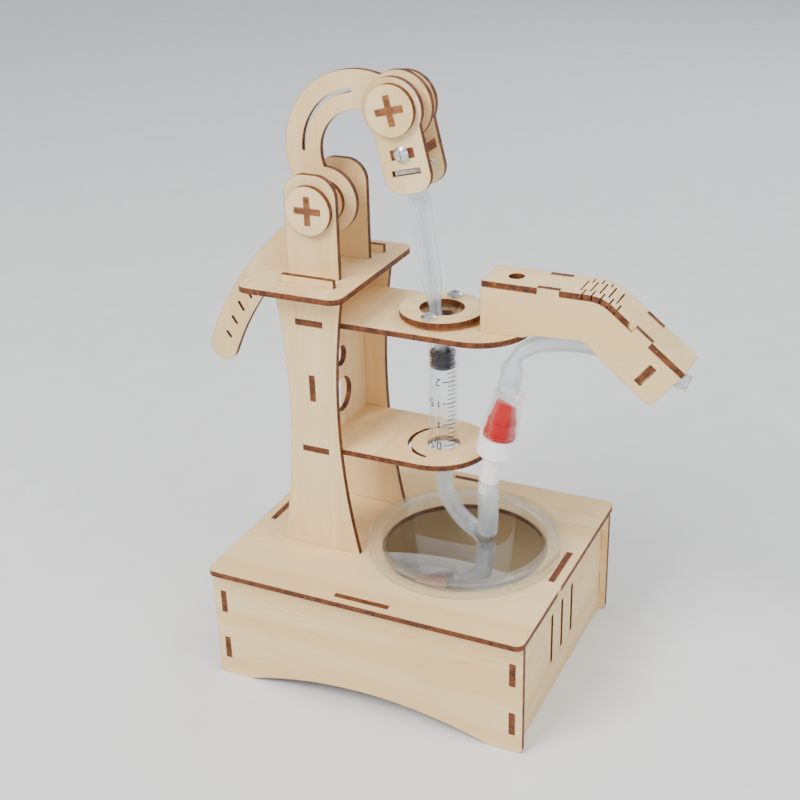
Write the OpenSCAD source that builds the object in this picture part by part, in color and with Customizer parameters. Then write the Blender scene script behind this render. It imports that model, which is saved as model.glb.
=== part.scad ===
// Hand pump demonstration kit in laser-cut plywood.
// A lever works a 2.5 ml syringe, two duckbill valves and four hoses.
// Millimetres. +X is the spout side, +Y is the back, +Z is up.
// The origin is on the ground under the middle of the base box.

/* [Sheet] */
// Thickness of the plywood sheet
ply = 2; // [1.8:0.1:2.2]
// Play around a tab in its slot
tab_play = 0.1; // [0.05:0.05:0.2]

/* [Base] */
// Length of the top plate along X
base_l = 118; // [112:1:126]
// Width of the top plate along Y
base_w = 100; // [92:1:110]
// Height of the box
base_h = 45; // [43:1:46]
// Overhang of the top plate past the front and back plates
base_over = 3; // [2:0.5:4]
// Rise of the arch under the front and back plates
arch_rise = 7.3; // [5:0.1:9]
// Middle of the cup along X
cup_x = 18.5; // [17:0.5:19.5]
// Radius of the hole that the cup hangs in
cup_hole_r = 29.6; // [29.6:0.1:30]

/* [Tower] */
// Middle of the tower along X
tower_x = -29; // [-30:0.5:-28]
// Outer distance between the two pillar plates
tower_w = 40; // [39:0.5:41]
// Half width of a pillar at its waist
waist = 9.1; // [8.5:0.1:10]
// Height of the waist
waist_z = 101; // [95:1:106]
// Radius of a pillar's hollow sides
side_r = 253; // [220:1:300]
// Top of the lower shelf
low_z = 85.2; // [84:0.2:86]
// Top of the upper shelf
high_z = 132.8; // [132.8:0.1:133.2]
// Underside of the platform
deck_z = 143.3; // [142.8:0.1:144]

/* [Lever] */
// Lever pivot, X
piv_x = -30.5; // [-31:0.1:-30]
// Lever pivot, Z
piv_z = 168.7; // [168:0.1:169.2]
// Upper pivot in the lever, X
hub_x = -2.6; // [-3:0.1:-2.2]
// Upper pivot in the lever, Z
hub_z = 202.5; // [202:0.1:203]
// Radius of a lever hub
hub_r = 11.4; // [11:0.1:11.8]
// Angle of the link plates from upright
link_tilt = 13.4; // [13:0.1:13.8]

/* [Syringe] */
// Middle of the syringe along X
syr_x = 10.9; // [10.7:0.1:11.1]
// Outer radius of the barrel
barrel_r = 5.3; // [5.2:0.1:5.4]
// Bore radius of the barrel
bore_r = 4.45; // [4.4:0.05:4.5]

/* [Hidden] */
$fn = 48;
t = ply;
hb = base_h;
py = tower_w/2;
ear_in = 10.3;
link_in = 4.5;
cross_l = 9.5;
cap_r = 8.35;
ring_z = high_z + 1.2;
bx = base_l/2 - 3.2;
fy = base_w/2 - base_over;

// ---------- sheet helpers ----------
// sheet lying flat, underside at z0
module flat_sheet(z0, th = t) translate([0, 0, z0]) linear_extrude(th) children();
// sheet facing front, drawn as X and Z, front face at y0
module xz_sheet(y0, th = t)
  translate([0, y0 + th, 0]) rotate([90, 0, 0]) linear_extrude(th) children();
// sheet facing sideways, drawn as Y and Z, left face at x0
module yz_sheet(x0, th = t)
  translate([x0, 0, 0]) rotate([90, 0, 90]) linear_extrude(th) children();
// rectangle by its corners
module box2(x0, y0, x1, y1) translate([x0, y0]) square([x1 - x0, y1 - y0]);
// rectangle with round corners
module round2(x0, y0, x1, y1, r) {
  box2(x0 + r, y0, x1 - r, y1);
  box2(x0, y0 + r, x1, y1 - r);
  for (x = [x0 + r, x1 - r])
    for (y = [y0 + r, y1 - r])
      translate([x, y]) circle(r);
}
// rectangle whose upper corners are round
module arch2(x0, y0, x1, y1, r) {
  box2(x0, y0, x1, y1 - r);
  box2(x0 + r, y1 - r - 0.01, x1 - r, y1);
  for (x = [x0 + r, x1 - r])
    translate([x, y1 - r]) circle(r);
}
// pie slice from angle a0 to a1
module pie2(r, a0, a1, n = 8)
  polygon(concat([[0, 0]],
    [for (i = [0:n]) let (a = a0 + (a1 - a0)*i/n) [r*cos(a), r*sin(a)]]));
// curved band between two radii
module band2(r0, r1, a0, a1)
  intersection() {
    difference() {
      circle(r1, $fn = 180);
      circle(r0, $fn = 180);
    }
    pie2(r1*1.3, a0, a1);
  }
// curved slot with round ends
module arc_slot2(r, w, a0, a1, n = 20)
  polygon(concat(
    [for (i = [0:n]) let (a = a0 + (a1 - a0)*i/n) (r + w/2)*[cos(a), sin(a)]],
    [for (i = [1:5]) let (b = 30*i) r*[cos(a1), sin(a1)] + w/2*[cos(a1 + b), sin(a1 + b)]],
    [for (i = [n:-1:0]) let (a = a0 + (a1 - a0)*i/n) (r - w/2)*[cos(a), sin(a)]],
    [for (i = [1:5]) let (b = 180 + 30*i) r*[cos(a0), sin(a0)] + w/2*[cos(a0 + b), sin(a0 + b)]]));
// short straight slot with round ends, length l
module slot2(l, w) {
  square([l - w, w], center = true);
  for (s = [-1, 1])
    translate([s*(l - w)/2, 0]) circle(w/2, $fn = 16);
}
// cross for the strips of a shaft
module cross2(l, w) {
  square([l, w], center = true);
  square([w, l], center = true);
}
// tab slot with play
module tab_slot2(x0, y0, x1, y1)
  box2(x0 - tab_play, y0 - tab_play, x1 + tab_play, y1 + tab_play);

// ---------- base box ----------
module base_top_plate() color("BurlyWood") flat_sheet(hb - t)
  difference() {
    round2(-base_l/2, -base_w/2, base_l/2, base_w/2, 3);
    translate([cup_x, 0]) circle(cup_hole_r, $fn = 96);
    for (s = [-1, 1]) {
      tab_slot2(-10, s*(fy - t/2) - t/2, 10, s*(fy - t/2) + t/2);
      tab_slot2(s*(bx - t/2) - t/2, -10, s*(bx - t/2) + t/2, 10);
      tab_slot2(tower_x - 9.8, s*(py - t/2) - t/2, tower_x + 9.8, s*(py - t/2) + t/2);
    }
  }

// front and back plates share this outline, arched below and slotted at both ends
module long_side2() {
  half = base_l/2 - 0.5;
  arc_r = (46*46 + arch_rise*arch_rise)/(2*arch_rise);
  difference() {
    union() {
      round2(-half, 0, half, hb - t, 1.5);
      box2(-half, 4, half, hb - t);
      box2(-10, hb - t - 1, 10, hb);
    }
    translate([0, arch_rise - arc_r]) circle(arc_r, $fn = 180);
    for (s = [-1, 1])
      for (z = [7, 26.7])
        tab_slot2(s*(bx - t/2) - t/2, z, s*(bx - t/2) + t/2, z + 8.7);
  }
}
module base_front_plate() color("Wheat") xz_sheet(-fy) long_side2();
module base_back_plate() color("Wheat") xz_sheet(fy - t) long_side2();

// side plates stand between the long ones, their tabs end flush with them
module short_side2() {
  difference() {
    union() {
      box2(-fy + t, 0, fy - t, hb - t);
      box2(-10, hb - t - 1, 10, hb);
      for (z = [7, 26.7])
        box2(-fy, z, fy, z + 8.7);
    }
    children();
  }
}
module base_left_plate() color("Tan") yz_sheet(-bx) short_side2();
module base_right_plate() color("Tan") yz_sheet(bx - t) short_side2()
  for (i = [-1:1])
    translate([i*10.6, 21.9]) rotate(90) slot2(20.2, 2.1);

// ---------- cup ----------
module cup() color("LightCyan") translate([cup_x, 0, 0])
  rotate_extrude($fn = 96) polygon([[0, 5], [25, 5], [25.8, 5.8], [29.25, 45],
    [29.9, 48.6], [33.7, 48.6], [33.7, hb + 0.05], [34.6, hb + 0.05], [34.6, 49.6],
    [34.1, 50.1], [29.6, 50.1], [29.1, 49.4], [28.45, 45], [25.1, 6.2], [0, 6.2]]);

// ---------- tower ----------
module pillar2()
  difference() {
    union() {
      difference() {
        box2(tower_x - 15.4, hb, tower_x + 15.4, deck_z);
        for (s = [-1, 1])
          translate([tower_x + s*(waist + side_r), waist_z]) circle(side_r, $fn = 360);
      }
      box2(tower_x - 9.7, hb - t, tower_x + 9.7, hb + 1);
      box2(tower_x - 9.7, deck_z - 1, tower_x + 9.9, 148);
    }
    tab_slot2(tower_x - 5, high_z - t, tower_x + 5, high_z);
    tab_slot2(tower_x - 5, low_z - t, tower_x + 5, low_z);
    tab_slot2(tower_x - t/2, 103, tower_x + t/2, 112.5);
  }
module pillar_front() color("Wheat") xz_sheet(-py) pillar2();
module pillar_rear() color("Wheat") xz_sheet(py - t) pillar2();
module tower_web() color("Tan") yz_sheet(tower_x - t/2)
  difference() {
    union() {
      box2(-py + t, low_z, py - t, high_z - t);
      box2(-py, 103, py, 112.5);
    }
    translate([0, 112]) circle(3.7);
    translate([0, 97.2]) circle(6.4);
  }

// shelf outline: straight sides with tabs, round right end
module shelf2(end_x) {
  w = py - t;
  box2(tower_x - 7, -w, end_x, w);
  translate([end_x, 0]) circle(w, $fn = 96);
  box2(tower_x - 5, -py, tower_x + 5, py);
}
module lower_shelf() color("BurlyWood") flat_sheet(low_z - t)
  difference() {
    shelf2(8.9);
    translate([syr_x, 0]) circle(barrel_r + 0.3);
    translate([syr_x, 0]) arc_slot2(12, 1.2, 100, 260);
  }
module upper_shelf() color("BurlyWood") flat_sheet(high_z - t)
  difference() {
    shelf2(24);
    translate([syr_x, 0]) circle(barrel_r + 0.3);
    for (s = [-1, 1]) {
      translate([syr_x, s*11]) circle(1.1, $fn = 24);
      tab_slot2(30.1, s*6.5 - t/2, 37.6, s*6.5 + t/2);
    }
  }
module platform() color("BurlyWood") flat_sheet(deck_z)
  difference() {
    round2(-51.3, -29.5, -12.6, 29.5, 4.5);
    round2(-60, -5.5, -38, 5.5, 3);
    for (s = [-1, 1]) {
      tab_slot2(tower_x - 9.7, s*(py - t/2) - t/2, tower_x + 9.9, s*(py - t/2) + t/2);
      tab_slot2(piv_x - 5, s*(ear_in + t/2) - t/2, piv_x + 5, s*(ear_in + t/2) + t/2);
    }
  }

// ---------- lever pivot ----------
module ear2()
  difference() {
    union() {
      arch2(piv_x - 9.6, deck_z + t, piv_x + 9.6, 180.3, 7.5);
      box2(piv_x - 5, deck_z, piv_x + 5, deck_z + t + 1);
    }
    translate([piv_x, piv_z]) cross2(cross_l + 0.2, t + 0.2);
  }
module ear_front() color("Wheat") xz_sheet(-ear_in - t) ear2();
module ear_rear() color("Wheat") xz_sheet(ear_in) ear2();

// a shaft is two strips pushed into each other; half is the half length along Y
module strip_flat(half) difference() {
  translate([-cross_l/2, -half, -t/2]) cube([cross_l, 2*half, t]);
  translate([-t/2 - 0.05, -0.1, -t]) cube([t + 0.1, half + 1, 2*t]);
}
module strip_upright(half) difference() {
  translate([-t/2, -half, -cross_l/2]) cube([t, 2*half, cross_l]);
  translate([-t, -half - 1, -t/2 - 0.05]) cube([2*t, half + 1.1, t + 0.1]);
}
module at_pivot() translate([piv_x, 0, piv_z]) children();
module pivot_strip_flat() color("Peru") at_pivot() strip_flat(14.5);
module pivot_strip_upright() color("Sienna") at_pivot() strip_upright(14.5);
// cap disc, front face at y0
module cap_disc(y0) xz_sheet(y0)
  difference() {
    circle(cap_r, $fn = 64);
    cross2(cross_l + 0.2, t + 0.2);
  }
module pivot_cap_front() color("Wheat") at_pivot() cap_disc(-ear_in - 2*t - 0.05);
module pivot_cap_rear() color("Wheat") at_pivot() cap_disc(ear_in + t + 0.05);
// washer pressed on a shaft beside the lever, front face at y0
module washer(y0) xz_sheet(y0)
  difference() {
    circle(7.2);
    cross2(cross_l + 0.1, t + 0.1);
  }
module pivot_washers() color("Tan") at_pivot()
  for (s = [-1, 1])
    washer(s*2.2 - t/2);

// ---------- lever ----------
module lever() color("Wheat") xz_sheet(-t/2)
  difference() {
    union() {
      translate([piv_x, piv_z]) circle(hub_r, $fn = 72);
      translate([hub_x, hub_z]) circle(hub_r - 0.1, $fn = 72);
      translate([-17, 185.5]) band2(14.6, 27.5, 49.7, 231);
      translate([28.9, 67.8]) {
        band2(107, 118, 122.5, 158.6);
        rotate(158.6) translate([112.5, 0]) circle(5.5);
      }
    }
    translate([piv_x, piv_z]) circle(4.94);
    translate([hub_x, hub_z]) circle(4.94);
    translate([-17, 185.5]) arc_slot2(20.8, 1.2, 98, 180);
    for (i = [0:3])
      translate([28.9, 67.8]) rotate(145.6 + i*3.4)
        translate([112, 0]) rotate(-28) slot2(4.6 - i*0.5, 1);
  }

// ---------- link plates and what they carry ----------
// link frame: origin at the upper pivot, -Z runs down the link
module at_link() translate([hub_x, 0, hub_z]) rotate([0, -link_tilt, 0]) children();
module link2()
  difference() {
    union() {
      circle(10.2, $fn = 72);
      mirror([0, 1]) arch2(-8.15, 0, 8.15, 27.2, 6);
    }
    cross2(cross_l + 0.2, t + 0.2);
    tab_slot2(-4, -15.7, 4, -12.7);
    box2(-5.05, -21, 5.05, -19.2);
  }
module link_plate_front() color("Wheat") at_link() xz_sheet(-link_in - t) link2();
module link_plate_rear() color("Wheat") at_link() xz_sheet(link_in) link2();
module link_strip_flat() color("Peru") at_link() strip_flat(8.7);
module link_strip_upright() color("Sienna") at_link() strip_upright(8.7);
module link_cap_front() color("Wheat") at_link() cap_disc(-link_in - 2*t - 0.05);
module link_cap_rear() color("Wheat") at_link() cap_disc(link_in + t + 0.05);
module link_washers() color("Tan") at_link()
  for (s = [-1, 1])
    washer(s*2.4 - t/2);
// cross bar with a tab in each link plate, bored for the screw
module link_bar() color("Sienna") at_link()
  difference() {
    union() {
      translate([-7, -link_in, -15.7]) cube([14, 2*link_in, 3]);
      translate([-4, -link_in - t, -15.7]) cube([8, 2*link_in + 2*t, 3]);
    }
    translate([0, 0, -14.2]) rotate([90, 0, 0]) cylinder(h = 30, r = 1.05, center = true, $fn = 24);
  }
module link_screw() color("Silver") at_link() translate([0, 0, -14.2]) {
  translate([0, -link_in - t, 0]) rotate([90, 0, 0]) difference() {
    union() {
      cylinder(h = 0.9, r = 2.6, $fn = 32);
      translate([0, 0, 0.9]) cylinder(h = 0.7, r1 = 2.6, r2 = 1.7, $fn = 32);
    }
    translate([0, 0, 1.6]) cube([2.6, 0.5, 1], center = true);
    translate([0, 0, 1.6]) cube([0.5, 2.6, 1], center = true);
  }
  translate([0, link_in + t + 2.6, 0]) rotate([90, 0, 0])
    cylinder(h = 2*link_in + 2*t + 2.6, r = 1, $fn = 24);
}
module link_nut() color("Silver") at_link() translate([0, link_in + t + 1.7, -14.2])
  rotate([90, 0, 0]) difference() {
    cylinder(h = 1.6, r = 2.3, $fn = 6);
    translate([0, 0, -1]) cylinder(h = 4, r = 1.02, $fn = 24);
  }

// ---------- plunger ----------
// rod frame: origin in the piston, +Z runs up the rod to the thumb disc
rod_foot = [10.9, 0, 117];
rod_tilt = 7.63;
rod_len = 66.2;
module plunger_rod() color("Azure") {
  at_link() translate([0, 0, -20.65]) cylinder(h = 1.1, r = 6.4, $fn = 64);
  translate(rod_foot) rotate([0, -rod_tilt, 0]) {
    cylinder(h = 5, r = 1.5, $fn = 24);
    translate([0, 0.55, 0]) rotate([90, 0, 0]) linear_extrude(1.1)
      polygon([[-1.9, 4.6], [1.9, 4.6], [1.9, 19], [3.5, 27], [3.7, 36], [3.7, rod_len],
        [-3.7, rod_len], [-3.7, 36], [-3.5, 27], [-1.9, 19]]);
    rotate([0, 0, 90]) translate([0, 0.55, 0]) rotate([90, 0, 0]) linear_extrude(1.1)
      polygon([[-3, 4.6], [3, 4.6], [3, 18], [3.6, 26], [3.6, rod_len],
        [-3.6, rod_len], [-3.6, 26], [-3, 18]]);
  }
}
module piston_seal() color("DimGray") translate([syr_x, 0, 0])
  rotate_extrude($fn = 64) polygon([[0, 113.2], [3.8, 114.4], [4.4, 114.9], [4.4, 115.9],
    [3.9, 116.4], [3.9, 118.4], [4.4, 118.9], [4.4, 120], [4.1, 120.4], [3.3, 120.4],
    [3.3, 115.8], [0, 115.8]]);

// ---------- syringe ----------
module syringe_barrel() color("AliceBlue") translate([syr_x, 0, 0]) {
  rotate_extrude($fn = 64) polygon([[1, 67.5], [1.9, 67.5], [2.1, 75.6], [barrel_r, 76.2],
    [barrel_r, high_z], [barrel_r, ring_z], [bore_r, ring_z], [bore_r, 77.4], [1, 76.6]]);
  flat_sheet(high_z, 1.2) difference() {
    intersection() {
      circle(9.6, $fn = 64);
      square([13, 30], center = true);
    }
    circle(barrel_r - 0.4, $fn = 64);
  }
}
module clamp_ring() color("BurlyWood") flat_sheet(ring_z)
  difference() {
    translate([syr_x, 0]) circle(14.4, $fn = 96);
    translate([syr_x, 0]) circle(7.6, $fn = 64);
    for (s = [-1, 1])
      translate([syr_x, s*11]) circle(1.1, $fn = 24);
  }
module ring_screws() color("Silver")
  for (s = [-1, 1])
    translate([syr_x, s*11, ring_z + t]) {
      difference() {
        union() {
          cylinder(h = 0.8, r = 2.6, $fn = 32);
          translate([0, 0, 0.8]) cylinder(h = 0.7, r1 = 2.6, r2 = 1.7, $fn = 32);
        }
        translate([0, 0, 1.5]) cube([2.6, 0.5, 1], center = true);
        translate([0, 0, 1.5]) cube([0.5, 2.6, 1], center = true);
      }
      translate([0, 0, -8]) cylinder(h = 8, r = 1, $fn = 24);
    }
module ring_nuts() color("Silver")
  for (s = [-1, 1])
    translate([syr_x, s*11, high_z - t - 1.7]) difference() {
      cylinder(h = 1.6, r = 2.3, $fn = 6);
      translate([0, 0, -1]) cylinder(h = 4, r = 1.02, $fn = 24);
    }

// ---------- hoses, each one tube along a route of points ----------
// point on a smooth curve through the route, u counts route points
function cr(p0, p1, p2, p3, f) = 0.5*((2*p1) + (p2 - p0)*f
  + (2*p0 - 5*p1 + 4*p2 - p3)*f*f + (3*p1 - p0 - 3*p2 + p3)*f*f*f);
function on_route(r, u) =
  let (n = len(r) - 1, i = min(floor(u), n - 1), f = u - i)
  cr(i > 0 ? r[i - 1] : 2*r[0] - r[1], r[i], r[i + 1],
    i + 2 <= n ? r[i + 2] : 2*r[n] - r[n - 1], f);
function unit3(v) = v/norm(v);
// rings of the tube: k sides, radius rr, per rings between two route points
function tube_rings(r, r0, swell, per, k) =
  let (n = (len(r) - 1)*per)
  [for (j = [0:n]) let (u = j/per, p = on_route(r, u),
    rr = r0 + swell*min(1, max(0, 2.4 - u)),
    d = unit3(on_route(r, min(u + 0.02, len(r) - 1)) - on_route(r, max(u - 0.02, 0))),
    e1 = unit3(cross([0, 1, 0], d)), e2 = cross(d, e1))
    for (m = [0:k - 1]) let (a = 360*m/k)
      p + rr*cos(a)*e1 + rr*sin(a)*e2];
// swell widens the first two stretches, where the hose is pushed over a socket
module hose(r, ro, ri, swell = 0, per = 3, k = 12) {
  n = (len(r) - 1)*per;
  out = tube_rings(r, ro, swell, per, k);
  inn = tube_rings(r, ri, swell, per, k);
  off = len(out);
  polyhedron(points = concat(out, inn), faces = concat(
    [for (j = [0:n - 1]) for (m = [0:k - 1]) let (q = (m + 1)%k)
      [j*k + q, (j + 1)*k + q, (j + 1)*k + m, j*k + m]],
    [for (j = [0:n - 1]) for (m = [0:k - 1]) let (q = (m + 1)%k)
      [off + j*k + m, off + (j + 1)*k + m, off + (j + 1)*k + q, off + j*k + q]],
    [for (m = [0:k - 1]) let (q = (m + 1)%k) [off + m, off + q, q, m]],
    [for (m = [0:k - 1]) let (q = (m + 1)%k)
      [n*k + m, n*k + q, off + n*k + q, off + n*k + m]]));
}
nozzle_route = [[10.9, 0, 75.4], [10.8, 0, 72.4], [11.2, 0, 68.4], [12.9, -0.5, 64],
  [16, -1.3, 60], [20.2, -2.3, 57], [24.6, -3.1, 54.9]];
riser_route = [[30.9, -8, 78.5], [30.6, -7.6, 73.4], [30.3, -6.8, 68], [29.9, -5.7, 62.4],
  [29.2, -4.7, 56.6]];
elbow_route = [[28.6, -4, 49.4], [28.2, -4, 45.4], [27.6, -3.8, 41.2], [25.9, -3.2, 36.9],
  [22.3, -2.5, 33.3], [17, -2, 30.2]];
spout_route = [[37.7, -8, 113.6], [38.5, -7.6, 119.4], [39.3, -6.3, 124], [41.8, -4.2, 127.2],
  [46, -2, 129], [53, -0.6, 130], [60, 0, 130.3], [69, 0, 129.8], [76.4, 0, 128.5],
  [82.8, 0, 126.6], [89, 0, 124.4], [94.8, 0, 122.3]];
module nozzle_hose() color("LightSteelBlue") hose(nozzle_route, 3, 2.2);
module riser_hose() color("LightSteelBlue") hose(riser_route, 3.6, 2.6);
module elbow_hose() color("LightSteelBlue") hose(elbow_route, 3.5, 2.5);
module spout_hose() color("LightSteelBlue") hose(spout_route, 2.85, 1.95, 0.95);

// clear tee: arms up into the riser, down into the elbow, left into the nozzle hose
module tee_connector() color("Azure") translate([28.8, -4.3, 52.4]) rotate([3.5, 5.3, 0])
  difference() {
    union() {
      cylinder(h = 20, r = 2.45, center = true, $fn = 32);
      translate([0, 0, -1.6]) cylinder(h = 1.4, r = 3.1, $fn = 32);
      cylinder(h = 5, r = 2.8, center = true, $fn = 32);
      rotate([0, -58, 11]) cylinder(h = 9, r = 2.1, $fn = 32);
      rotate([0, -58, 11]) cylinder(h = 3.6, r = 2.6, $fn = 32);
    }
    cylinder(h = 30, r = 1.4, center = true, $fn = 24);
    rotate([0, -58, 11]) cylinder(h = 20, r = 1.2, $fn = 24);
  }

// ---------- check valves: +Z runs with the flow, origin where cap and housing meet ----------
// cap of height h with a stub in front of it
module valve_cap(h, stub) rotate_extrude($fn = 64) polygon([[1.3, -h - stub - 5],
  [2.4, -h - stub - 5], [2.5, -h - stub], [3.4, -h - stub], [3.7, -h - 0.4], [4.2, -h],
  [6, -h], [6.6, 0.6 - h], [6.6, 0], [5.5, 0], [5.5, 1.2 - h], [1.3, 1.2 - h]]);
// housing with a tapered wall of height h and a socket for the next hose
module valve_housing(h) rotate_extrude($fn = 64) polygon([[6.3, 0.05], [6.3, 1.6], [5.4, h],
  [5.6, h + 0.4], [5.6, h + 1.1], [4.9, h + 1.5], [2.9, h + 1.6], [2.4, h + 2], [2.2, h + 6.2],
  [1.5, h + 6.2], [1.5, h + 0.8], [4.4, h + 0.4], [5.45, 1.6], [5.45, 0.05]]);
// flanged rubber sleeve of height h with two slanted lips
module duckbill(h)
  rotate([0, 0, -15]) difference() {
    union() {
      cylinder(h = 1.2, r = 5.4, $fn = 48);
      cylinder(h = h - 6.6, r = 4.9, $fn = 48);
      translate([-3.4, 0, 0]) rotate([90, 0, 90]) linear_extrude(6.8)
        polygon([[-3.5, h - 7.2], [3.5, h - 7.2], [0.6, h], [-0.6, h]]);
    }
    translate([0, 0, -1]) cylinder(h = h - 7.2, r = 3.8, $fn = 48);
  }
module at_outlet() translate([34.56, -8, 96.75]) rotate([0, 11.4, 0]) children();
module at_inlet() translate([-0.25, -2, 20.4]) rotate([0, 60.5, 0]) children();
module outlet_cap() color("White") at_outlet() valve_cap(7.4, 10.9);
module outlet_housing() color("Azure") at_outlet() valve_housing(14.85);
module outlet_duckbill() color("Red") at_outlet() translate([0, 0, 0.1]) duckbill(12.2);
module inlet_cap() color("White") at_inlet()
  difference() {
    translate([0, 0, -3.6]) cylinder(h = 3.6, r = 6.6, $fn = 64);
    translate([0, 0, -2.4]) cylinder(h = 4, r = 5.5, $fn = 64);
    translate([0, 0, -5]) cylinder(h = 8, r = 1.6, $fn = 32);
  }
module inlet_housing() color("Azure") at_inlet() valve_housing(17.2);
module inlet_duckbill() color("Red") at_inlet() translate([0, 0, 0.1]) duckbill(14.2);

// ---------- spout box ----------
slope = 38.5;
bend = [63.5, 137.4];
bend_top = 11;
// side profile of a bent strip between two heights above the bend centre
function bent(r, steps = 8) = [for (i = [0:steps])
  let (a = 90 - slope*i/steps) [bend[0] + r*cos(a), bend[1] + r*sin(a)]];
// point on the slope, a along it past the bend, r above the bend centre
function on_slope(a, r) = [bend[0] + r*sin(slope) + a*cos(slope),
  bend[1] + r*cos(slope) - a*sin(slope)];
spout_len = 30;
// partition slot, distance past the bend
part_a = 20.8;
module spout_side2()
  difference() {
    polygon(concat([[27.5, high_z], [27.5, 147.6], [28.4, 148.4], [46.6, 148.4],
      [46.6, 150.6], [54, 150.6], [54, 148.4]], bent(bend_top),
      [on_slope(9.3, bend_top), on_slope(9.3, 13.2), on_slope(16.2, 13.2),
       on_slope(16.2, bend_top), on_slope(spout_len, bend_top), on_slope(spout_len, -1.6),
       on_slope(spout_len - 0.3, -2.6), on_slope(spout_len - 1, -3.3), on_slope(spout_len - 2, -3.6),
       on_slope(9.4, -3.6), [65.9, 131.4], [63.5, 133.7],
       [61.1, 134.6], [45, 133.9], [42, high_z], [37.6, high_z], [37.6, high_z - t - 0.8],
       [30.1, high_z - t - 0.8], [30.1, high_z]]));
    polygon([on_slope(part_a - 0.3, -0.5), on_slope(part_a - 0.3, 7.3),
      on_slope(part_a + t + 0.3, 7.3), on_slope(part_a + t + 0.3, -0.5)]);
  }
module spout_side_front() color("Wheat") xz_sheet(-7.5) spout_side2();
module spout_side_rear() color("Wheat") xz_sheet(5.5) spout_side2();
// partition across the box near its mouth, bored for the hose
module spout_partition() color("Sienna")
  difference() {
    union() {
      xz_sheet(-5.5, 11) polygon([on_slope(part_a, -3.2), on_slope(part_a, 10.9),
        on_slope(part_a + t, 10.9), on_slope(part_a + t, -3.2)]);
      xz_sheet(-7.5, 15) polygon([on_slope(part_a, -0.3), on_slope(part_a, 7.1),
        on_slope(part_a + t, 7.1), on_slope(part_a + t, -0.3)]);
    }
    translate([on_slope(part_a + 1, 3.6)[0], 0, on_slope(part_a + 1, 3.6)[1]])
      rotate([0, 90 + slope, 0]) cylinder(h = 12, r = 3.1, center = true, $fn = 48);
  }
// turns to the place on the bent strip that lies s past the start of the bend
module on_strip(s) {
  a = max(0, min(slope, s/13.1*180/PI));
  translate([bend[0], 0, bend[1]]) rotate([0, a, 0]) translate([s - a*PI/180*13.1, 0, 0])
    children();
}
first_slit = -2.1;
// cover sheet bent over the top, notched for the tabs of the sides and slit across the bend
module spout_cover() color("BurlyWood")
  difference() {
    xz_sheet(-7.6, 15.2) polygon(concat([[27.9, 148.5], [27.9, 150.5]], bent(13.1),
      [on_slope(spout_len + 0.2, 13.1), on_slope(spout_len + 0.2, 11.1)],
      [for (i = [8:-1:0]) bent(11.1)[i]]));
    translate([37.1, 0, 140]) cylinder(h = 20, r = 2.65, $fn = 32);
    for (s = [-1, 1]) {
      translate([46.5, s*7.4 - 2, 140]) cube([7.6, 4, 20]);
      xz_sheet(s*7.4 - 2, 4) polygon([on_slope(9.2, 9), on_slope(9.2, 15),
        on_slope(16.3, 15), on_slope(16.3, 9)]);
      // slits open at the edges
      for (i = [0:4])
        on_strip(first_slit + i*3.1) translate([-0.24, s*6.1 - 3, 9]) cube([0.48, 6, 6]);
    }
    // slits along the middle, between the open ones
    for (i = [0:4])
      on_strip(first_slit - 1.5 + i*3.1) translate([-0.24, -4.35, 9]) cube([0.48, 8.7, 6]);
  }

base_top_plate();
base_front_plate();
base_back_plate();
base_left_plate();
base_right_plate();
cup();
pillar_front();
pillar_rear();
tower_web();
lower_shelf();
upper_shelf();
platform();
ear_front();
ear_rear();
pivot_strip_flat();
pivot_strip_upright();
pivot_cap_front();
pivot_cap_rear();
pivot_washers();
syringe_barrel();
clamp_ring();
ring_screws();
ring_nuts();
nozzle_hose();
tee_connector();
riser_hose();
elbow_hose();
spout_hose();
outlet_cap();
outlet_housing();
outlet_duckbill();
inlet_cap();
inlet_housing();
inlet_duckbill();
spout_side_front();
spout_side_rear();
spout_cover();
spout_partition();
lever();
link_plate_front();
link_plate_rear();
link_strip_flat();
link_strip_upright();
link_cap_front();
link_cap_rear();
link_washers();
link_bar();
link_screw();
link_nut();
plunger_rod();
piston_seal();
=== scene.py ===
import bpy
import bmesh
import math
import random
from mathutils import Vector, Matrix


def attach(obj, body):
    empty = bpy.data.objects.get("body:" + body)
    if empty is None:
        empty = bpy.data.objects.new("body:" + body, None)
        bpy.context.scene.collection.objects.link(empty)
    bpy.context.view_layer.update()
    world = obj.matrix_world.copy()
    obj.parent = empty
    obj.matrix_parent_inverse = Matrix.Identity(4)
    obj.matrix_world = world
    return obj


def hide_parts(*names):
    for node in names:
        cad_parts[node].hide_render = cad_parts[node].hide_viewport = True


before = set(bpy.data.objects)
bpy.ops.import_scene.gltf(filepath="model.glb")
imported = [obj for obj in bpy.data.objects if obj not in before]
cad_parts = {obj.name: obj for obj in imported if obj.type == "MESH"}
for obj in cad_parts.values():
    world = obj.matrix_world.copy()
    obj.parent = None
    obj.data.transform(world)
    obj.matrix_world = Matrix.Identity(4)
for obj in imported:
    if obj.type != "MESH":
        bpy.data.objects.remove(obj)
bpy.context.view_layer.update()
MM = 0.001


def mm(x, y, z):
    return Vector((x * MM, y * MM, z * MM))


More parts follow.
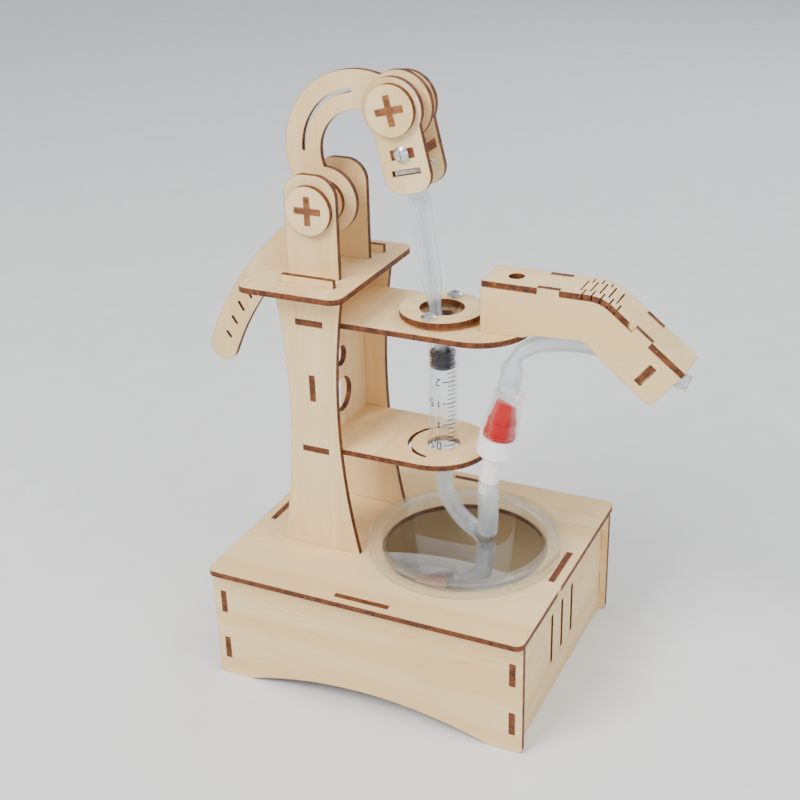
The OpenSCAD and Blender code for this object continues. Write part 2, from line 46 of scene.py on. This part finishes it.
# ---------------------------------------------------------------- camera
cam_data = bpy.data.cameras.new("camera")
cam = bpy.data.objects.new("camera", cam_data)
bpy.context.scene.collection.objects.link(cam)
bpy.context.scene.camera = cam
cam_data.lens = 60.9
cam_data.sensor_width = 36.0
cam_data.clip_start = 0.01
cam_data.clip_end = 20.0
target = mm(-4.56, -2.2, 99.9)
azimuth, pitch, roll = math.radians(25.75), math.radians(25.68), math.radians(-1.62)
distance = 0.470
back = Vector((math.sin(azimuth) * math.cos(pitch), -math.cos(azimuth) * math.cos(pitch), math.sin(pitch)))
cam.rotation_mode = "QUATERNION"
turn = (-back).to_track_quat("-Z", "Y")
cam.rotation_quaternion = turn @ Matrix.Rotation(roll, 3, "Z").to_quaternion()
cam.location = target + back * distance


# ---------------------------------------------------------------- node helpers
class Nodes:
    """Small builder for one material's node tree."""

    def __init__(self, name):
        self.mat = bpy.data.materials.new(name)
        self.mat.use_nodes = True
        self.tree = self.mat.node_tree
        self.tree.nodes.clear()
        self.out = self.add("ShaderNodeOutputMaterial")
        self.shader = self.add("ShaderNodeBsdfPrincipled")
        self.link(self.shader.outputs[0], self.out.inputs["Surface"])
        self.coord = self.add("ShaderNodeTexCoord")

    def add(self, kind, **props):
        n = self.tree.nodes.new(kind)
        for k, v in props.items():
            setattr(n, k, v)
        return n

    def link(self, a, b):
        self.tree.links.new(a, b)

    def put(self, value, socket):
        if isinstance(value, bpy.types.NodeSocket):
            self.link(value, socket)
        else:
            socket.default_value = value

    def math(self, op, a, b=0.0, clamp=False):
        n = self.add("ShaderNodeMath", operation=op, use_clamp=clamp)
        self.put(a, n.inputs[0])
        self.put(b, n.inputs[1])
        return n.outputs[0]

    def ramp(self, value, lo, hi, to_lo=0.0, to_hi=1.0, smooth=True):
        n = self.add("ShaderNodeMapRange")
        n.interpolation_type = "SMOOTHSTEP" if smooth else "LINEAR"
        self.put(value, n.inputs[0])
        for i, v in enumerate((lo, hi, to_lo, to_hi)):
            self.put(v, n.inputs[1 + i])
        return n.outputs[0]

    def mix(self, f, a, b):
        n = self.add("ShaderNodeMix", data_type="RGBA")
        self.put(f, n.inputs[0])
        self.put(a, n.inputs[6])
        self.put(b, n.inputs[7])
        return n.outputs[2]

    def scaled(self, sx, sy, sz, shift=(0, 0, 0)):
        n = self.add("ShaderNodeMapping")
        n.inputs["Scale"].default_value = (sx, sy, sz)
        n.inputs["Location"].default_value = shift
        self.link(self.coord.outputs["Object"], n.inputs["Vector"])
        return n.outputs[0]

    def noise(self, vector, scale, detail=3.0, rough=0.55, distortion=0.0):
        n = self.add("ShaderNodeTexNoise")
        self.link(vector, n.inputs["Vector"])
        n.inputs["Scale"].default_value = scale
        n.inputs["Detail"].default_value = detail
        n.inputs["Roughness"].default_value = rough
        n.inputs["Distortion"].default_value = distortion
        return n.outputs[0]

    def bump(self, height, strength, distance):
        n = self.add("ShaderNodeBump")
        n.inputs["Strength"].default_value = strength
        n.inputs["Distance"].default_value = distance
        self.link(height, n.inputs["Height"])
        self.link(n.outputs[0], self.shader.inputs["Normal"])

    def set(self, **values):
        for k, v in values.items():
            self.put(v, self.shader.inputs[k.replace("_", " ")])


def rgb(r, g, b, a=1.0):
    return (r, g, b, a)


# ---------------------------------------------------------------- plywood
FACE = rgb(0.80, 0.555, 0.265)
FACE_PALE = rgb(0.86, 0.640, 0.350)
FACE_WARM = rgb(0.70, 0.415, 0.160)
BURN = rgb(0.185, 0.052, 0.012)
BURN_DEEP = rgb(0.065, 0.017, 0.005)
BURN_LIGHT = rgb(0.42, 0.165, 0.050)
SCORCH = rgb(0.62, 0.28, 0.08)
NUB = rgb(0.72, 0.46, 0.20)
# soot from dark to light, on sheet edges and on the ends of the shaft strips
EDGE_CHAR = (BURN_DEEP, BURN, BURN_LIGHT)
STRIP_END = (rgb(0.13, 0.040, 0.012), rgb(0.30, 0.115, 0.035), rgb(0.48, 0.24, 0.085))


def plywood(name, normals, grain, line=0.00042, seed=0.0, scorched=0.55, char=EDGE_CHAR):
    """Laser-cut plywood: normals are the sheet's face normals, grain is the axis the grain runs along."""
    m = Nodes(name)
    normal = m.add("ShaderNodeBevel")
    normal.samples = 6
    normal.inputs["Radius"].default_value = line
    local = m.add("ShaderNodeVectorTransform", vector_type="NORMAL",
                  convert_from="WORLD", convert_to="OBJECT")
    m.link(normal.outputs[0], local.inputs[0])
    facing = None
    for n in normals:
        d = m.add("ShaderNodeVectorMath", operation="DOT_PRODUCT")
        m.link(local.outputs[0], d.inputs[0])
        d.inputs[1].default_value = n
        a = m.math("ABSOLUTE", d.outputs["Value"])
        facing = a if facing is None else m.math("MAXIMUM", facing, a)
    wobble = m.noise(m.scaled(1, 1, 1, (seed, seed * 2, 0)), 900.0, 2.0)
    ragged = m.math("MULTIPLY", m.math("SUBTRACT", wobble, 0.5), 0.10)
    burnt = m.ramp(m.math("ADD", facing, ragged), 0.80, 0.985, 1.0, 0.0)
    near = m.ramp(facing, 0.90, 0.9995, 1.0, 0.0)
    stretch = {"x": (6, 130, 130), "y": (130, 6, 130), "z": (130, 130, 6)}[grain]
    fibres = m.noise(m.scaled(*stretch, (seed, 0, seed)), 6.0, 4.0, 0.6, 0.3)
    wide = m.noise(m.scaled(*[v * 0.12 for v in stretch], (seed, seed, 0)), 6.0, 2.0, 0.5, 0.8)
    blotch = m.noise(m.scaled(1, 1, 1, (seed * 3, 0, 0)), 28.0, 3.0)
    pale = m.mix(m.ramp(wide, 0.35, 0.66), FACE, FACE_PALE)
    warm = m.mix(m.math("MULTIPLY", m.ramp(fibres, 0.52, 0.78), 0.42), pale, FACE_WARM)
    warm = m.mix(m.math("MULTIPLY", m.ramp(blotch, 0.55, 0.8), 0.22), warm, FACE_WARM)
    soot = m.mix(m.ramp(m.noise(m.scaled(1, 1, 1, (0, seed, 0)), 420.0, 3.0), 0.3, 0.7), char[0], char[1])
    soot = m.mix(m.math("MULTIPLY", m.ramp(wobble, 0.58, 0.8), 0.6), soot, char[2])
    patches = m.noise(m.scaled(1, 1, 1, (seed, 3, seed)), 90.0, 2.0)
    scorch = m.math("MULTIPLY", m.ramp(patches, 0.35, 0.7), scorched)
    warm = m.mix(m.math("MULTIPLY", near, scorch), warm, SCORCH)
    cells = m.add("ShaderNodeTexVoronoi", feature="F1")
    cells.inputs["Scale"].default_value = 34.0
    m.link(m.scaled(1, 1, 1, (seed * 0.37, seed * 0.11, seed * 0.23)), cells.inputs["Vector"])
    bridge = m.ramp(cells.outputs["Distance"], 0.055, 0.075, 1.0, 0.0)
    soot = m.mix(bridge, soot, NUB)
    m.link(m.mix(burnt, warm, soot), m.shader.inputs["Base Color"])
    rough = m.ramp(fibres, 0.3, 0.7, 0.52, 0.68)
    m.link(rough, m.shader.inputs["Roughness"])
    m.bump(m.math("ADD", fibres, m.math("MULTIPLY", burnt, -0.6)), 0.18, 0.0002)
    m.set(Specular_IOR_Level=0.35)
    return m.mat


SLOPE = math.radians(38.5)
AX, AY, AZ = (1, 0, 0), (0, 1, 0), (0, 0, 1)
LINK = math.radians(13.4)
sheets = {
    ("base_top_plate",): ([AZ], "x"),
    ("platform", "upper_shelf", "lower_shelf"): ([AZ], "y"),
    ("clamp_ring",): ([AZ], "x"),
    ("base_front_plate", "base_back_plate"): ([AY], "x"),
    ("base_left_plate", "base_right_plate"): ([AX], "y"),
    ("tower_web",): ([AX], "z"),
    ("pillar_front", "pillar_rear"): ([AY], "z"),
    ("ear_front", "ear_rear"): ([AY], "z"),
    ("pivot_cap_front", "pivot_cap_rear", "pivot_washers"): ([AY], "x"),
    ("lever",): ([AY], "z"),
    ("link_plate_front", "link_plate_rear", "link_cap_front", "link_cap_rear",
     "link_washers"): ([AY], "z"),
    ("spout_side_front", "spout_side_rear"): ([AY], "x"),
    ("spout_cover",): ([AZ] + [(math.sin(SLOPE * f), 0, math.cos(SLOPE * f))
                               for f in (1.0, 0.5, 0.25, 0.75)], "x"),
    ("spout_partition",): ([(math.cos(SLOPE), 0, -math.sin(SLOPE))], "y"),
    ("pivot_strip_flat",): ([AZ], "y"),
    ("pivot_strip_upright",): ([AX], "y"),
    ("link_strip_flat", "link_bar"): ([(-math.sin(LINK), 0, math.cos(LINK))], "y"),
    ("link_strip_upright",): ([(math.cos(LINK), 0, math.sin(LINK))], "y"),
}


def paint(node, material):
    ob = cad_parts[node]
    if not ob.material_slots:
        ob.data.materials.append(material)
    for s in ob.material_slots:
        s.material = material


for i, (names, (normals, grain)) in enumerate(sheets.items()):
    for j, n in enumerate(names):
        char = STRIP_END if "_strip_" in n else EDGE_CHAR
        paint(n, plywood("ply_" + n, normals, grain, seed=i * 3.7 + j * 1.3, char=char))


# ---------------------------------------------------------------- plastics, rubber, metal
def see_through(name, tint, rough, clear, gloss=0.5, milk=0.0, wave=0.0):
    """Clear or milky plastic. clear is how much light passes straight on, milk adds a white scatter."""
    m = Nodes(name)
    glass = m.shader
    glass.inputs["Base Color"].default_value = tint
    glass.inputs["Roughness"].default_value = rough
    glass.inputs["IOR"].default_value = 1.42
    glass.inputs["Transmission Weight"].default_value = 1.0 - milk
    glass.inputs["Specular IOR Level"].default_value = gloss
    glass.inputs["Alpha"].default_value = 1.0 - clear
    swirl = m.noise(m.scaled(1, 1, 1), 130.0, 2.0)
    if wave:
        m.bump(swirl, wave, 0.0004)
    m.link(m.ramp(swirl, 0.2, 0.8, max(rough - 0.03, 0.0), rough + 0.05), glass.inputs["Roughness"])
    return m.mat


def moulded(name, colour, rough, dark, metallic=0.0, spec=0.5, scale=260.0, bump=0.05):
    m = Nodes(name)
    speck = m.noise(m.scaled(1, 1, 1), scale, 4.0)
    m.link(m.mix(m.ramp(speck, 0.35, 0.75), colour, dark), m.shader.inputs["Base Color"])
    m.link(m.ramp(speck, 0.2, 0.8, rough - 0.06, rough + 0.08), m.shader.inputs["Roughness"])
    m.bump(speck, bump, 0.0002)
    m.shader.inputs["Metallic"].default_value = metallic
    m.shader.inputs["Specular IOR Level"].default_value = spec
    return m.mat


cup_plastic = see_through("cup_plastic", rgb(0.84, 0.91, 0.95), 0.03, 0.60, 1.0, 0.04, 0.05)
barrel_plastic = see_through("barrel_plastic", rgb(0.90, 0.95, 1.0), 0.02, 0.78, 0.8, 0.0)
housing_plastic = see_through("housing_plastic", rgb(0.90, 0.90, 0.98), 0.02, 0.82, 0.9, 0.0)
tee_plastic = see_through("tee_plastic", rgb(0.86, 0.93, 0.96), 0.03, 0.50, 0.9, 0.0)
rod_plastic = see_through("rod_plastic", rgb(0.84, 0.91, 0.96), 0.22, 0.34, 0.6, 0.28)
silicone = see_through("silicone", rgb(0.84, 0.91, 0.95), 0.12, 0.42, 0.8, 0.20, 0.12)
white_plastic = moulded("white_plastic", rgb(0.93, 0.93, 0.93), 0.32, rgb(0.88, 0.88, 0.88))
red_rubber = moulded("red_rubber", rgb(0.50, 0.001, 0.001), 0.34, rgb(0.42, 0.001, 0.001), spec=0.3)
black_rubber = moulded("black_rubber", rgb(0.012, 0.012, 0.014), 0.30, rgb(0.02, 0.02, 0.022))
steel = moulded("steel", rgb(0.72, 0.72, 0.73), 0.24, rgb(0.50, 0.50, 0.52), 1.0, 0.5, 500.0, 0.12)
ink = moulded("ink", rgb(0.010, 0.012, 0.045), 0.5, rgb(0.016, 0.018, 0.06))

for names, material in (
    (("cup",), cup_plastic),
    (("syringe_barrel",), barrel_plastic),
    (("outlet_housing", "inlet_housing"), housing_plastic),
    (("tee_connector",), tee_plastic),
    (("plunger_rod",), rod_plastic),
    (("outlet_cap", "inlet_cap"), white_plastic),
    (("outlet_duckbill", "inlet_duckbill"), red_rubber),
    (("piston_seal",), black_rubber),
    (("ring_screws", "ring_nuts", "link_screw", "link_nut"), steel),
):
    for n in names:
        paint(n, material)


# ---------------------------------------------------------------- mesh helpers
def add_mesh(name, verts, faces, material, body, smooth=True):
    me = bpy.data.meshes.new(name)
    me.from_pydata(verts, [], faces)
    me.update()
    if smooth:
        for p in me.polygons:
            p.use_smooth = True
    me.materials.append(material)
    ob = bpy.data.objects.new(name, me)
    bpy.context.scene.collection.objects.link(ob)
    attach(ob, body)
    return ob


def curve_point(r, u):
    """Smooth curve through the points r, where u counts them from 0."""
    n = len(r) - 1
    i = min(int(u), n - 1)
    f = u - i
    p0 = r[i - 1] if i > 0 else 2 * r[0] - r[1]
    p1, p2 = r[i], r[i + 1]
    p3 = r[i + 2] if i + 2 <= n else 2 * r[n] - r[n - 1]
    return 0.5 * ((2 * p1) + (p2 - p0) * f + (2 * p0 - 5 * p1 + 4 * p2 - p3) * f * f
                  + (3 * p1 - p0 - 3 * p2 + p3) * f * f * f)


def curve_frame(r, u):
    """Point of the curve at u and two directions square to the curve."""
    d = (curve_point(r, min(u + 0.02, len(r) - 1)) - curve_point(r, max(u - 0.02, 0))).normalized()
    e1 = Vector((0, 1, 0)).cross(d).normalized()
    return curve_point(r, u), e1, d.cross(e1)


def hose(name, route, ro, ri, node, swell=0.0, pinch=None, per=8, k=28):
    """Smooth tube along the CAD hose's own route, with a wall, standing for its CAD node."""
    r = [Vector(p) for p in route]
    n = (len(r) - 1) * per
    rings = {"out": [], "in": []}
    for j in range(n + 1):
        u = j / per
        p, e1, e2 = curve_frame(r, u)
        wide = swell * min(1.0, max(0.0, 2.4 - u))
        flat = 0.0
        if pinch:
            flat = pinch[1] * math.exp(-((u - pinch[0]) / 0.55) ** 2)
        for key, rad in (("out", ro), ("in", ri)):
            ring = []
            for m in range(k):
                a = 2 * math.pi * m / k
                q = (p + e1 * (rad + wide) * math.cos(a) * (1 - flat)
                     + e2 * (rad + wide) * math.sin(a) * (1 + flat * 0.25))
                ring.append(q * MM)
            rings[key].append(ring)
    verts, faces = [], []
    for key in ("out", "in"):
        for ring in rings[key]:
            verts.extend(ring)
    off = (n + 1) * k
    for j in range(n):
        for m in range(k):
            q = (m + 1) % k
            faces.append((j * k + m, j * k + q, (j + 1) * k + q, (j + 1) * k + m))
            faces.append((off + j * k + q, off + j * k + m, off + (j + 1) * k + m, off + (j + 1) * k + q))
    for m in range(k):
        q = (m + 1) % k
        faces.append((m, off + m, off + q, q))
        faces.append((n * k + q, off + n * k + q, off + n * k + m, n * k + m))
    ob = add_mesh(name, verts, faces, silicone, "frame")
    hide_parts(node)
    return ob


# middle lines of the hoses in mm, the same as in the CAD
NOZZLE = [(10.9, 0, 75.4), (10.8, 0, 72.4), (11.2, 0, 68.4), (12.9, -0.5, 64), (16, -1.3, 60),
          (20.2, -2.3, 57), (24.6, -3.1, 54.9)]
RISER = [(30.9, -8, 78.5), (30.6, -7.6, 73.4), (30.3, -6.8, 68), (29.9, -5.7, 62.4), (29.2, -4.7, 56.6)]
ELBOW = [(28.6, -4, 49.4), (28.2, -4, 45.4), (27.6, -3.8, 41.2), (25.9, -3.2, 36.9), (22.3, -2.5, 33.3),
         (17, -2, 30.2)]
SPOUT = [(37.7, -8, 113.6), (38.5, -7.6, 119.4), (39.3, -6.3, 124), (41.8, -4.2, 127.2), (46, -2, 129),
         (53, -0.6, 130), (60, 0, 130.3), (69, 0, 129.8), (76.4, 0, 128.5), (82.8, 0, 126.6),
         (89, 0, 124.4), (94.8, 0, 122.3)]
hose("nozzle_tube", NOZZLE, 3.0, 2.2, "nozzle_hose")
hose("riser_tube", RISER, 3.6, 2.6, "riser_hose")
hose("elbow_tube", ELBOW, 3.5, 2.5, "elbow_hose")
hose("spout_tube", SPOUT, 2.85, 1.95, "spout_hose", swell=0.95, pinch=(2.15, 0.24))


# ---------------------------------------------------------------- syringe scale
syr = (10.9, 0.0)
SCALE_R = 5.33
ZERO_Z, PER_ML = 78.6, 16.08


def wrap(s, z):
    """A point on the barrel: s is degrees round it, z is the height in mm."""
    a = math.radians(s)
    return mm(syr[0] + SCALE_R * math.cos(a), syr[1] + SCALE_R * math.sin(a), z)


def strip(verts, faces, s0, z0, s1, z1, half, steps=8):
    """A printed line on the barrel from (s0, z0) to (s1, z1), half is half its width in mm."""
    ds, dz = (s1 - s0) * math.pi / 180 * SCALE_R, z1 - z0
    ln = math.hypot(ds, dz)
    nx, nz = -dz / ln * half, ds / ln * half
    base = len(verts)
    for i in range(steps + 1):
        f = i / steps
        s, z = s0 + (s1 - s0) * f, z0 + dz * f
        for sg in (-1, 1):
            verts.append(wrap(s + sg * nx / SCALE_R * 180 / math.pi, z + sg * nz))
    for i in range(steps):
        faces.append((base + 2 * i, base + 2 * i + 2, base + 2 * i + 3, base + 2 * i + 1))


# strokes of the numerals as x0, y0, x1, y1, on a grid 1 wide and 2 tall
STROKES = {
    "0": [(0, 0, 0, 2), (0, 2, 1, 2), (1, 2, 1, 0), (1, 0, 0, 0)],
    "1": [(0.5, 0, 0.5, 2), (0.5, 2, 0.15, 1.6)],
    "2": [(0, 2, 1, 2), (1, 2, 1, 1.1), (1, 1.1, 0, 0), (0, 0, 1, 0)],
    "5": [(1, 2, 0, 2), (0, 2, 0, 1.1), (0, 1.1, 1, 1.1), (1, 1.1, 1, 0), (1, 0, 0, 0)],
    ".": [(0.35, 0, 0.35, 0.25)],
}
TICK_LONG, TICK_SHORT, TICK_END, TEXT_START = -70, -50, -16, -78
DIGIT_W, DIGIT_H, DIGIT_GAP, DOT_W = 1.25, 2.4, 0.55, 0.35


def digit_point(x, px, py, ml):
    """Place of a stroke's end on the barrel, upside down, for a character that starts at x."""
    s = TEXT_START - (x + px * DIGIT_W) / SCALE_R * 180 / math.pi
    return s, ZERO_Z + PER_ML * ml + DIGIT_H / 2 - py * DIGIT_H / 2


verts, faces = [], []
for i in range(0, 26):
    z = ZERO_Z + PER_ML * i / 10
    major = i % 5 == 0
    strip(verts, faces, TICK_LONG if major else TICK_SHORT, z, TICK_END, z, 0.19 if major else 0.15, 12)
for label in ("0.5", "1", "1.5", "2", "2.5"):
    x = 0.0
    for c in label:
        for x0, y0, x1, y1 in STROKES[c]:
            a, b = digit_point(x, x0, y0, float(label)), digit_point(x, x1, y1, float(label))
            strip(verts, faces, a[0], a[1], b[0], b[1], 0.2, 4)
        x += (DOT_W if c == "." else DIGIT_W) + DIGIT_GAP
add_mesh("scale_marks", verts, faces, ink, "frame", False)


# ---------------------------------------------------------------- droplets in the hoses
def droplets(name, route, radius, count, lo, hi, seed):
    """Small beads of water on the hose's inner wall."""
    r = [Vector(p) for p in route]
    rr = random.Random(seed)
    bm = bmesh.new()
    for i in range(count):
        u = lo + (hi - lo) * rr.random()
        p, e1, e2 = curve_frame(r, u)
        a = rr.uniform(0, 2 * math.pi)
        at = (p + (e1 * math.cos(a) + e2 * math.sin(a)) * radius) * MM
        size = rr.uniform(0.16, 0.42) * MM
        made = bmesh.ops.create_icosphere(bm, subdivisions=2, radius=size)
        for v in made["verts"]:
            v.co = at + Vector((v.co.x * 1.2, v.co.y, v.co.z * 0.9))
    me = bpy.data.meshes.new(name)
    bm.to_mesh(me)
    bm.free()
    for p in me.polygons:
        p.use_smooth = True
    me.materials.append(water)
    ob = bpy.data.objects.new(name, me)
    bpy.context.scene.collection.objects.link(ob)
    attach(ob, "frame")
    return ob


water = see_through("water", rgb(0.97, 0.99, 1.0), 0.02, 0.1, 0.9)
droplets("beads_nozzle", NOZZLE[2:6], 2.0, 22, 0, 3, 3)
droplets("beads_riser", RISER[1:5], 2.35, 16, 0, 3, 4)
droplets("beads_spout", SPOUT[2:7], 1.75, 20, 0, 4, 5)


# ---------------------------------------------------------------- floor and light
def floor():
    m = Nodes("floor_paper")
    grain = m.noise(m.scaled(1, 1, 1), 60.0, 3.0)
    paper = m.mix(m.ramp(grain, 0.3, 0.7), rgb(0.80, 0.81, 0.82), rgb(0.83, 0.84, 0.85))
    m.link(paper, m.shader.inputs["Base Color"])
    m.shader.inputs["Roughness"].default_value = 0.8
    me = bpy.data.meshes.new("floor")
    h = 4.0
    me.from_pydata([(-h, -h, 0), (h, -h, 0), (h, h, 0), (-h, h, 0)], [], [(0, 1, 2, 3)])
    me.materials.append(m.mat)
    ob = bpy.data.objects.new("floor", me)
    ob.location = (0, 0, -0.0001)
    bpy.context.scene.collection.objects.link(ob)


floor()


def area(name, location, aim, size, power, colour=(1, 1, 1)):
    data = bpy.data.lights.new(name, "AREA")
    data.shape = "SQUARE"
    data.size = size
    data.energy = power
    data.color = colour
    ob = bpy.data.objects.new(name, data)
    ob.location = location
    ob.rotation_euler = (Vector(aim) - Vector(location)).to_track_quat("-Z", "Y").to_euler()
    bpy.context.scene.collection.objects.link(ob)


area("key", (-0.35, -0.75, 0.95), (0, 0, 0.09), 0.55, 15.5, (1.0, 0.975, 0.94))
area("fill", (0.95, -0.55, 0.55), (0, 0, 0.09), 0.8, 4.2, (0.98, 0.99, 1.0))
area("cup_lift", (0.20, -0.10, 0.42), (0.02, 0.01, 0.03), 0.12, 0.35, (1.0, 0.985, 0.96))
area("rim", (0.2, 0.95, 0.8), (0, 0, 0.1), 0.7, 4.0)
world = bpy.data.worlds.new("studio")
bpy.context.scene.world = world
world.use_nodes = True
world.node_tree.nodes["Background"].inputs[0].default_value = (0.93, 0.96, 1.0, 1)
world.node_tree.nodes["Background"].inputs[1].default_value = 0.7
